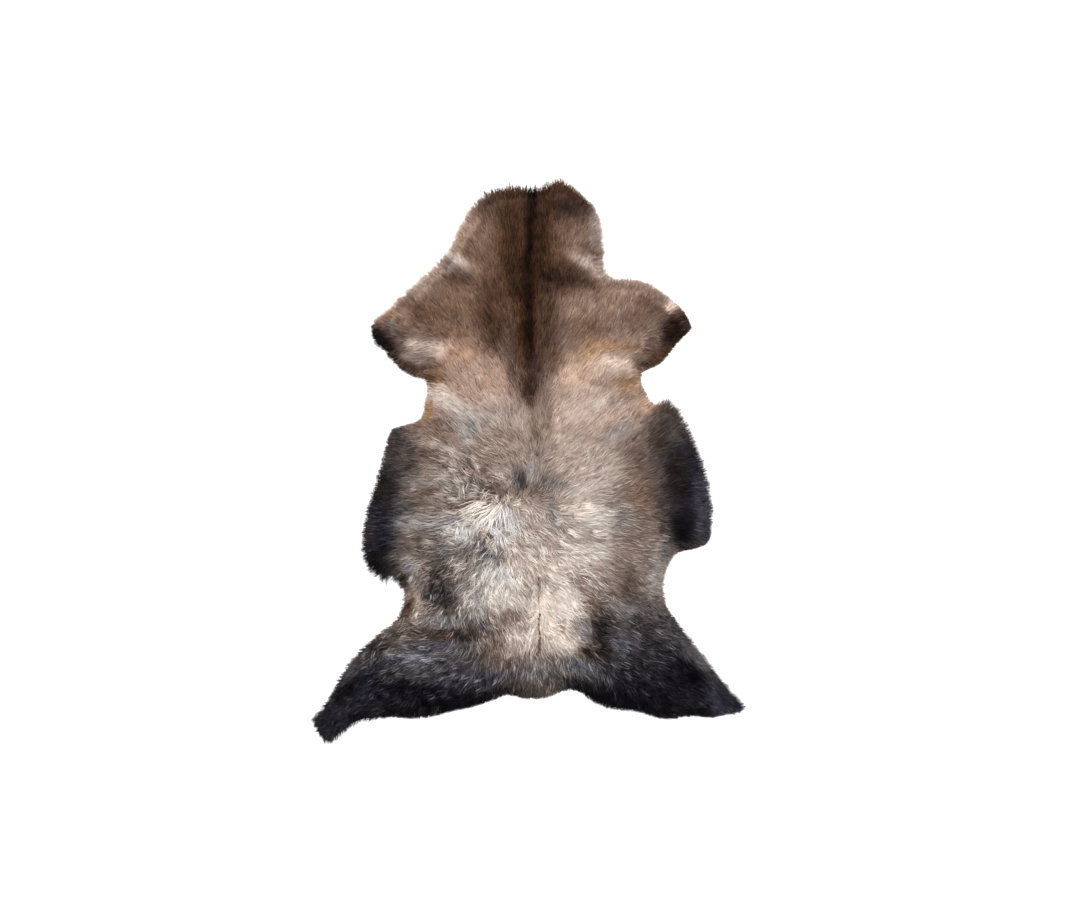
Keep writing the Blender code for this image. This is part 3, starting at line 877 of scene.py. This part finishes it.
def strands(path, radius, tone, warmth):
    """The corners, triangles and shades of tapered three-sided strands, given their paths root first."""
    count, rings = path.shape[0], path.shape[1] - 1
    along = np.empty_like(path)
    along[:, 1:-1] = path[:, 2:] - path[:, :-2]
    along[:, 0] = path[:, 1] - path[:, 0]
    along[:, -1] = path[:, -1] - path[:, -2]
    along /= np.linalg.norm(along, axis=2, keepdims=True)
    side = np.stack([-along[:, :, 1], along[:, :, 0], np.zeros((count, rings + 1))], 2)
    side /= np.maximum(np.linalg.norm(side, axis=2, keepdims=True), 1e-9)
    up = np.cross(along, side)

    points = np.empty((count, 3 * rings + 1, 3))
    shades = np.empty((count, 3 * rings + 1, 2))
    for ring in range(rings):
        for k in range(3):
            turn = 2 * math.pi * k / 3 + math.pi / 2
            outward = math.cos(turn) * side[:, ring] * 1.2 + math.sin(turn) * up[:, ring] * 0.8
            points[:, 3 * ring + k] = path[:, ring] + radius[:, ring, None] * outward
            shades[:, 3 * ring + k, 0] = tone[:, ring]
            shades[:, 3 * ring + k, 1] = warmth + 0.004 * (k - 1)  # keeps a face's corners apart
    points[:, -1] = path[:, -1]
    points[:, :, 2] = np.maximum(points[:, :, 2], 0.4 * MM)  # no strand dips into the floor
    shades[:, -1, 0] = tone[:, -1]
    shades[:, -1, 1] = warmth

    faces = [(2, 1, 0)]
    for ring in range(rings):
        for a, b in ((0, 1), (1, 2), (2, 0)):
            a, b = 3 * ring + a, 3 * ring + b
            faces += [(a, b, b + 3), (a, b + 3, a + 3)] if ring < rings - 1 else [(a, b, 3 * rings)]
    faces = np.array(faces) + (np.arange(count) * points.shape[1])[:, None, None]
    return points.reshape(-1, 3), faces.reshape(-1, 3), shades.reshape(-1, 2)


def wool_piece(name, groups):
    """One mesh of all the groups' strands, with the map OFBake that holds each corner's tone and warmth."""
    sizes = np.cumsum([0] + [len(points) for points, _, _ in groups])
    points = np.concatenate([points for points, _, _ in groups])
    faces = np.concatenate([faces + start for (_, faces, _), start in zip(groups, sizes)]).reshape(-1)
    shades = np.concatenate([shades for _, _, shades in groups]).clip(0.004, 0.996)
    mesh = bpy.data.meshes.new(name)
    mesh.vertices.add(len(points))
    mesh.vertices.foreach_set("co", points.astype(np.float32).ravel())
    mesh.loops.add(len(faces))
    mesh.loops.foreach_set("vertex_index", faces.astype(np.int32))
    mesh.polygons.add(len(faces) // 3)
    mesh.polygons.foreach_set("loop_start", np.arange(0, len(faces), 3, dtype=np.int32))
    mesh.update(calc_edges=True)
    mesh.shade_smooth()
    mesh.uv_layers.new(name="OFBake").uv.foreach_set("vector", shades[faces].astype(np.float32).ravel())
    piece = bpy.data.objects.new(name, mesh)
    bpy.context.scene.collection.objects.link(piece)
    piece.data.materials.append(fine_wool.material)
    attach(piece, "root")
    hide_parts("lambskin")
    return piece


def grown(x, y, rings, thick, low, high, curly=0.0):
    """Strands rooted at each place, a given number of mm thick, with tips from low to high in the wool."""
    count = len(x)
    steps = np.linspace(0, 1, rings + 1)[None, :]

    # where each strand heads, which is with its tuft and away from the parting
    tufts = np.array([tuft_tree.find((a, b, 0))[1] for a, b in zip(x, y)], int)
    tousle = tousle_at(x, y)
    turn = nap_at(x, y) + tuft_turn[tufts] + np.radians(4 + 7 * tousle) * draw.normal(0, 1, count)
    turn += np.radians(12 + 26 * tousle) * drift(x, y, 26 * MM, 5.0)
    east, north = np.cos(turn), np.sin(turn)
    side = x / MM - PARTING.x - 1.5 * drift(x, y, 20 * MM, 6.0)
    parted = (np.abs(side) < PARTING_LEAN) & (y > PARTING.bottom * MM) & (y < PARTING.top * MM)
    east = np.where(parted, np.sign(side) * np.maximum(np.abs(east), 0.3), east)
    gape = parted & (np.abs(side) < np.where(y < PARTING.gape * MM, *PARTING_GAPES))
    east, north = np.where(gape, 0.0, east), np.where(gape, -1.0, north)

    # how far it lies over, held back where it would pass the fringe
    height = height_at(x, y)
    advance = (7 * MM + 0.42 * height) * tuft_length[tufts] * draw.uniform(0.8, 1.2, count)
    advance = np.where(gape, 8 * MM, advance)
    over = beyond_rim(x + advance * east, y + advance * north)
    outer = over > 0
    fluff = fluff_at(x[outer], y[outer])
    over[outer] -= (fringe_at(x[outer], y[outer]) + 0.5 * fluff) * draw.uniform(0.3, 1.0, outer.sum())
    advance = np.maximum(advance - np.maximum(over, 0), 3 * MM)

    # its way over the ground, swaying and drawn to the middle of its tuft
    ahead = advance[:, None] * (0.45 * steps + 0.55 * steps**1.6)
    wave = 2 * math.pi * (1.0 + 0.9 * curly) * steps
    wave = wave + (tuft_phase[tufts] + 0.6 * draw.normal(0, 1, count))[:, None]
    sway = (0.4 + (2.2 + 2.4 * curly) * tousle)[:, None] * MM * (np.sin(wave) - np.sin(wave[:, :1])) * steps
    cling = (0.10 + 0.32 * tousle)[:, None] * steps**1.5
    path = np.empty((count, rings + 1, 3))
    path[:, :, 0] = x[:, None] + ahead * east[:, None] - sway * north[:, None]
    path[:, :, 1] = y[:, None] + ahead * north[:, None] + sway * east[:, None]
    path[:, :, 0] += cling * (tuft_x[tufts] - x)[:, None]
    path[:, :, 1] += cling * (tuft_y[tufts] - y)[:, None]

    # how it rises out of the wool around it, and how thick it is
    level = draw.uniform(0, 1, count)
    root = np.minimum(0.45 * height, 14 * MM)
    lift = 1 - (1 - steps) ** 2.2
    reach = (low + (high - low) * level + tuft_rise[tufts])[:, None]
    local = height_at(path[:, :, 0].ravel(), path[:, :, 1].ravel()).reshape(path.shape[:2])
    path[:, :, 2] = root[:, None] * (1 - lift) + lift * reach * local + 0.6 * MM
    radius = thick / 2 * MM * draw.uniform(0.7, 1.25, count)[:, None] * (1 - steps**1.6)

    # its colour, mottled from strand to strand and paler at the tip; darker low in the wool and at the root,
    # partly for the wool's own colour and partly as painted shade
    seen = path[:, -1, :2] * 0.6 + path[:, 0, :2] * 0.4
    tone, warmth = colour_at(seen[:, 0], seen[:, 1])
    mottle = (0.068 + 0.056 * tousle) * (1.5 - 0.7 * tone) * tone / (tone + 0.05)
    tone = tone + tuft_tone[tufts] + mottle * draw.normal(0, 1, count)
    tone = tone * (0.84 + 0.42 * tousle)  # tousled wool shades itself, so its strands are paler than it looks
    # painted light and shade, partly the wool's own colour: strands whose tips lie low are darker, high ones
    # paler
    tone = tone * (1 + (0.05 + 0.15 * tousle) * (level - 0.5))
    # painted shade: the strands where the parting gapes are darkened
    tone = np.where(gape, 0.26 * tone, tone)
    # darker at the root and paler at the tip, partly the wool's own colour and partly painted shade
    root_shade = (0.93 - 0.07 * tousle)[:, None]
    tone = tone[:, None] * (root_shade + (1.04 + 0.06 * tousle[:, None] - root_shade) * steps)
    warmth = warmth + 0.03 * draw.normal(0, 1, count)
    return strands(path, radius, tone, warmth)


fine_wool = Nodes("fine_wool", roughness=0.7)
shade = fine_wool.add("ShaderNodeUVMap", uv_map="OFBake").outputs["UV"]
shade = fine_wool.add("ShaderNodeSeparateXYZ", {"Vector": shade})
fine_wool.to("Base Color", fleece_colour(fine_wool, shade.outputs["X"], shade.outputs["Y"]))
fine_wool.shader.inputs["Specular IOR Level"].default_value = 0.02

# Long wavy locks that lie on top of the rest. Each is a bundle that starts at a place, heads in the
# direction turn and has turned by curl degrees more at its end. wide is half its width, in mm.
Lock = namedtuple("Lock", "x y turn curl long wide tone warmth")
LOCKS = [Lock(*row) for row in (
    # the cream of the saddle
    (-46, -78, 226, 8, 58, 6, 100, 45),
    (-52, -80, 214, 46, 80, 6, 100, 42),
    (-56, -84, 222, 40, 70, 6, 100, 30),
    (-62, -80, 205, 34, 74, 6, 100, 50),
    (-70, -78, 196, 18, 66, 6, 98, 48),
    (-80, -76, 204, 10, 44, 6, 94, 52),
    (-88, -86, 200, 22, 50, 6, 100, 44),
    (-44, -82, 288, -40, 52, 6, 100, 26),
    (-38, -86, 300, -70, 50, 6, 98, 26),
    (-50, -86, 262, 16, 42, 6, 100, 28),
    (-60, -96, 240, 30, 46, 6, 100, 36),
    (-124, -117, 252, 55, 32, 1.8, 100, 16),
    (-117, -117, 250, 58, 32, 1.8, 100, 16),
    (-110, -118, 250, 60, 28, 1.8, 100, 20),
    (-102, -120, 255, 60, 24, 1.8, 98, 22),
    (-97, -143, 100, -185, 72, 1.8, 96, 34),
    (-92, -140, 110, -200, 46, 1.8, 88, 40),
    (-68, -120, 318, -56, 46, 6, 100, 24),
    (-57, -134, 274, -6, 36, 1.8, 100, 14),
    (-51, -138, 284, 34, 32, 1.8, 100, 22),
    (-44, -136, 300, 20, 34, 1.8, 94, 34),
    (-76, -150, 60, 130, 24, 1.8, 82, 42),
    (-132, -100, 190, 14, 60, 6, 72, 28),
    (-118, -106, 187, -6, 96, 6, 70, 24),
    # left of the saddle
    (-112, -42, 246, 82, 32, 1.8, 72, 48),
    (-119, -44, 244, 76, 30, 1.8, 70, 46),
    (-104, -38, 240, 80, 26, 1.8, 68, 46),
    (-146, -73, 8, -34, 30, 6, 82, 34),
    (-88, -60, 172, 26, 34, 6, 80, 50),
    (-98, -26, 170, -70, 30, 6, 70, 52),
    # right of the saddle
    (78, -101, 2, 8, 52, 6, 100, 52),
    (90, -79, -14, 12, 36, 6, 100, 56),
    (68, -124, -30, 22, 32, 6, 100, 50),
    (52, -144, -34, 24, 32, 6, 96, 44),
    (112, -128, -8, 14, 44, 6, 96, 38),
    # the loin and the rump
    (-66, -188, 238, 18, 28, 6, 92, 30),
    (-58, -194, 240, 12, 28, 6, 92, 32),
    (-40, -206, -58, 14, 34, 6, 100, 40),
    (-24, -214, -56, 20, 30, 6, 100, 46),
    (-96, -236, -66, 16, 40, 6, 80, 26),
    (-90, -262, -68, 14, 36, 6, 74, 24),
    (44, -232, -40, 12, 30, 6, 100, 52),
    (62, -286, -44, 18, 28, 6, 100, 54),
    (38, -318, -56, 10, 26, 6, 100, 54),
)]
LOCK_STRANDS = 1.3  # for each mm of width, and four more
LOCK_RINGS = 7


def locks(top, bottom):
    """The strands of the long locks that start between two heights on the pelt."""
    rows = [row for row in LOCKS if bottom <= row.y * MM < top]
    if not rows:
        return []
    each = [int(2 * row.wide * LOCK_STRANDS) + 4 for row in rows]
    x, y, turn, curl, long, wide, tone, warmth = np.array(rows, float).repeat(each, axis=0).T
    x, y, long, wide = x * MM, y * MM, long * MM, wide * MM
    tone, warmth = tone / 100, warmth / 100
    turn, curl = np.radians(turn), np.radians(curl)
    phase = np.arange(len(rows)).repeat(each)[:, None]
    count, rings = len(x), LOCK_RINGS
    steps = np.linspace(0, 1, rings + 1)[None, :]
    across = (draw.uniform(-1, 1, count) * wide)[:, None] * (1 - 0.35 * steps)
    long = long * draw.uniform(0.45, 1.1, count)
    heading = turn[:, None] + curl[:, None] * steps**1.4 + math.radians(7) * draw.normal(0, 1, (count, 1))
    heading = heading + math.radians(11) * np.sin(9 * steps + phase)
    ahead = np.zeros((count, rings + 1, 2))
    ahead[:, 1:, 0] = np.cumsum(np.cos(heading[:, :-1]), axis=1)
    ahead[:, 1:, 1] = np.cumsum(np.sin(heading[:, :-1]), axis=1)
    path = np.empty((count, rings + 1, 3))
    path[:, :, 0] = x[:, None] + ahead[:, :, 0] * long[:, None] / rings - across * np.sin(heading)
    path[:, :, 1] = y[:, None] + ahead[:, :, 1] * long[:, None] / rings + across * np.cos(heading)
    local = height_at(path[:, :, 0].ravel(), path[:, :, 1].ravel()).reshape(path.shape[:2])
    rise = 0.79 + 0.35 * np.sin(math.pi * steps.clip(0, 0.9)) ** 0.5 + 0.08 * draw.uniform(-1, 1, (count, 1))
    path[:, :, 2] = local * rise
    radius = 0.57 * MM * draw.uniform(0.6, 1.3, (count, 1)) * (1 - steps**2)
    # darker at the root and paler at the tip, partly the wool's own colour and partly painted shade
    tone = (tone - 0.01 + 0.12 * draw.normal(0, 1, count))[:, None] * (0.80 + 0.25 * steps)
    return [strands(path, radius, tone, warmth + 0.03 * draw.normal(0, 1, count))]


FRINGE_PITCH = 0.34 * MM  # of the strands along the rim
FRINGE_ROOTS = 14  # mm inside the rim from which they grow
FRINGE_TUFT = 6 * MM  # of the tufts that they lean together in


def fringe_strands(top, bottom):
    """Fine strands that stand out past the rim, between two heights on the pelt."""
    ahead = np.roll(rim, -1, axis=0) - rim
    length = np.hypot(ahead[:, 0], ahead[:, 1])
    count = int(length.sum() / FRINGE_PITCH)
    side = draw.choice(len(rim), count, p=length / length.sum())
    share = draw.uniform(0, 1, count)
    start = rim[side] + share[:, None] * ahead[side]
    run = (np.cumsum(length) - length)[side] + share * length[side]
    start, side, run = (a[(start[:, 1] < top) & (start[:, 1] >= bottom)] for a in (start, side, run))
    count = len(start)
    clockwise = np.cross(rim, np.roll(rim, -1, axis=0)).sum() < 0
    outward = np.stack([ahead[side, 1], -ahead[side, 0]], 1) / length[side, None] * (-1 if clockwise else 1)
    depth = draw.uniform(0, FRINGE_ROOTS, count) * MM
    x, y = (start - depth[:, None] * outward).T
    nap = nap_at(x, y)
    heading = outward + 0.8 * np.stack([np.cos(nap), np.sin(nap)], 1) + 0.16 * draw.normal(0, 1, (count, 2))
    straight = np.maximum((heading * outward).sum(axis=1, keepdims=True), 0.7)
    heading /= straight
    fluff = fluff_at(x, y)
    off_tuft = (run / FRINGE_TUFT + 2.5 * drift(x, y, 25 * MM, 7.0)) % 1 - 0.5
    fluff *= 0.93 - 0.8 * np.abs(off_tuft) + 0.45 * drift(x, y, 9 * MM, 3.0)
    reach = fringe_at(x, y) * draw.uniform(0.2, 1.0, count) + fluff * draw.uniform(0.4, 1.3, count)
    tip = np.stack([x, y], 1) + heading * (depth + reach)[:, None]
    tip -= 0.45 * FRINGE_TUFT * (off_tuft / length[side])[:, None] * ahead[side]
    height = height_at(x, y)
    path = np.empty((count, 2, 3))
    path[:, 0, 0], path[:, 0, 1], path[:, 0, 2] = x, y, height * draw.uniform(0.3, 0.8, count)
    path[:, 1, 0], path[:, 1, 1] = tip.T
    path[:, 1, 2] = height * draw.uniform(0.15, 0.8, count)
    radius = np.stack([draw.uniform(0.35, 0.65, count) * MM, np.zeros(count)], 1)
    tone, warmth = colour_at(x, y)
    tone = (0.97 * tone + 0.04 * draw.normal(0, 1, count))[:, None] * np.array([[0.95, 1.25]])
    return strands(path, radius, tone, warmth + 0.03 * draw.normal(0, 1, count))


STRAND_PITCH = 1.97 * MM  # of the strands' roots
AREAS = (  # from the neck down, each with the y, in mm, that it reaches to
    ("neck", 330),
    ("shoulders", 190),
    ("back", 40),
    ("saddle", -80),
    ("loin", -200),
    ("rump", -330),
    ("thighs", -600),
)
x, y = staggered(STRAND_PITCH, 0.5)
kind = draw.uniform(0, 1, len(x))
tousle = tousle_at(x, y)
lying = kind < 0.03 + 0.30 * tousle
curled = kind < 0.10 * (tousle - 0.6)
top = np.inf
for area, bottom in AREAS:
    here = (y < top) & (y >= bottom * MM)
    fine, long, curly = here & ~lying, here & lying & ~curled, here & curled
    groups = [
        grown(x[fine], y[fine], 1, 1.15, 0.70, 0.95),
        grown(x[long], y[long], 3, 1.45, 0.85, 1.05),
        grown(x[curly], y[curly], 6, 1.7, 0.95, 1.10, curly=1.0),
        fringe_strands(top, bottom * MM),
        *locks(top, bottom * MM),
    ]
    wool_piece("wool_of_the_" + area, groups)
    top = bottom * MM


# The floor, the light and the camera. The pelt lies loose on a white light table, which leaves next to no
# shadow. It is lit softly all round, and the camera is straight above the table.
bpy.ops.mesh.primitive_plane_add(size=12, location=(0, 0, -0.3 * MM))  # just clear of the skin
floor = bpy.context.active_object
floor.name = "floor"
paper = Nodes("white_paper", roughness=0.9)
paper.shader.inputs["Base Color"].default_value = (0.9, 0.9, 0.9, 1)
paper.shader.inputs["Emission Color"].default_value = (1, 1, 1, 1)
paper.shader.inputs["Emission Strength"].default_value = 0.7
floor.data.materials.append(paper.material)

world = bpy.data.worlds.new("studio")
bpy.context.scene.world = world
world.use_nodes = True
world.node_tree.nodes["Background"].inputs["Color"].default_value = (1, 1, 1, 1)
world.node_tree.nodes["Background"].inputs["Strength"].default_value = 1.0

SOFTBOXES = (  # x, y, z and size in metres, and watts
    (-0.6, 1.6, 2.4, 1.8, 90),
    (0.8, -1.0, 3.0, 2.0, 24),
)
for n, (x, y, z, size, watts) in enumerate(SOFTBOXES):
    lamp = bpy.data.lights.new(f"softbox_{n}", "AREA")
    lamp.shape, lamp.size, lamp.energy = "DISK", size, watts
    box = bpy.data.objects.new(f"softbox_{n}", lamp)
    box.location = (x, y, z)
    box.rotation_euler = (-Vector(box.location)).to_track_quat("-Z", "Y").to_euler()
    bpy.context.scene.collection.objects.link(box)

# The photograph is 1080 pixels wide, and the pelt is 562 of its pixels long, centred at (528.5, 460).
PHOTO_SIZE = (1080, 900)
PELT_PIXELS = 562
PELT_CENTRE = (528.5, 460)
pixel = 1000 * MM / PELT_PIXELS
CAMERA_HEIGHT = 10.0
camera = bpy.data.objects.new("camera", bpy.data.cameras.new("camera"))
camera.data.lens = camera.data.sensor_width * CAMERA_HEIGHT / (PHOTO_SIZE[0] * pixel)
camera.location = (
    (PHOTO_SIZE[0] / 2 - PELT_CENTRE[0]) * pixel,
    (PELT_CENTRE[1] - PHOTO_SIZE[1] / 2) * pixel,
    CAMERA_HEIGHT,
)
camera.data.clip_end = 50
bpy.context.scene.collection.objects.link(camera)
bpy.context.scene.camera = camera
bpy.context.scene.view_settings.view_transform = "Standard"
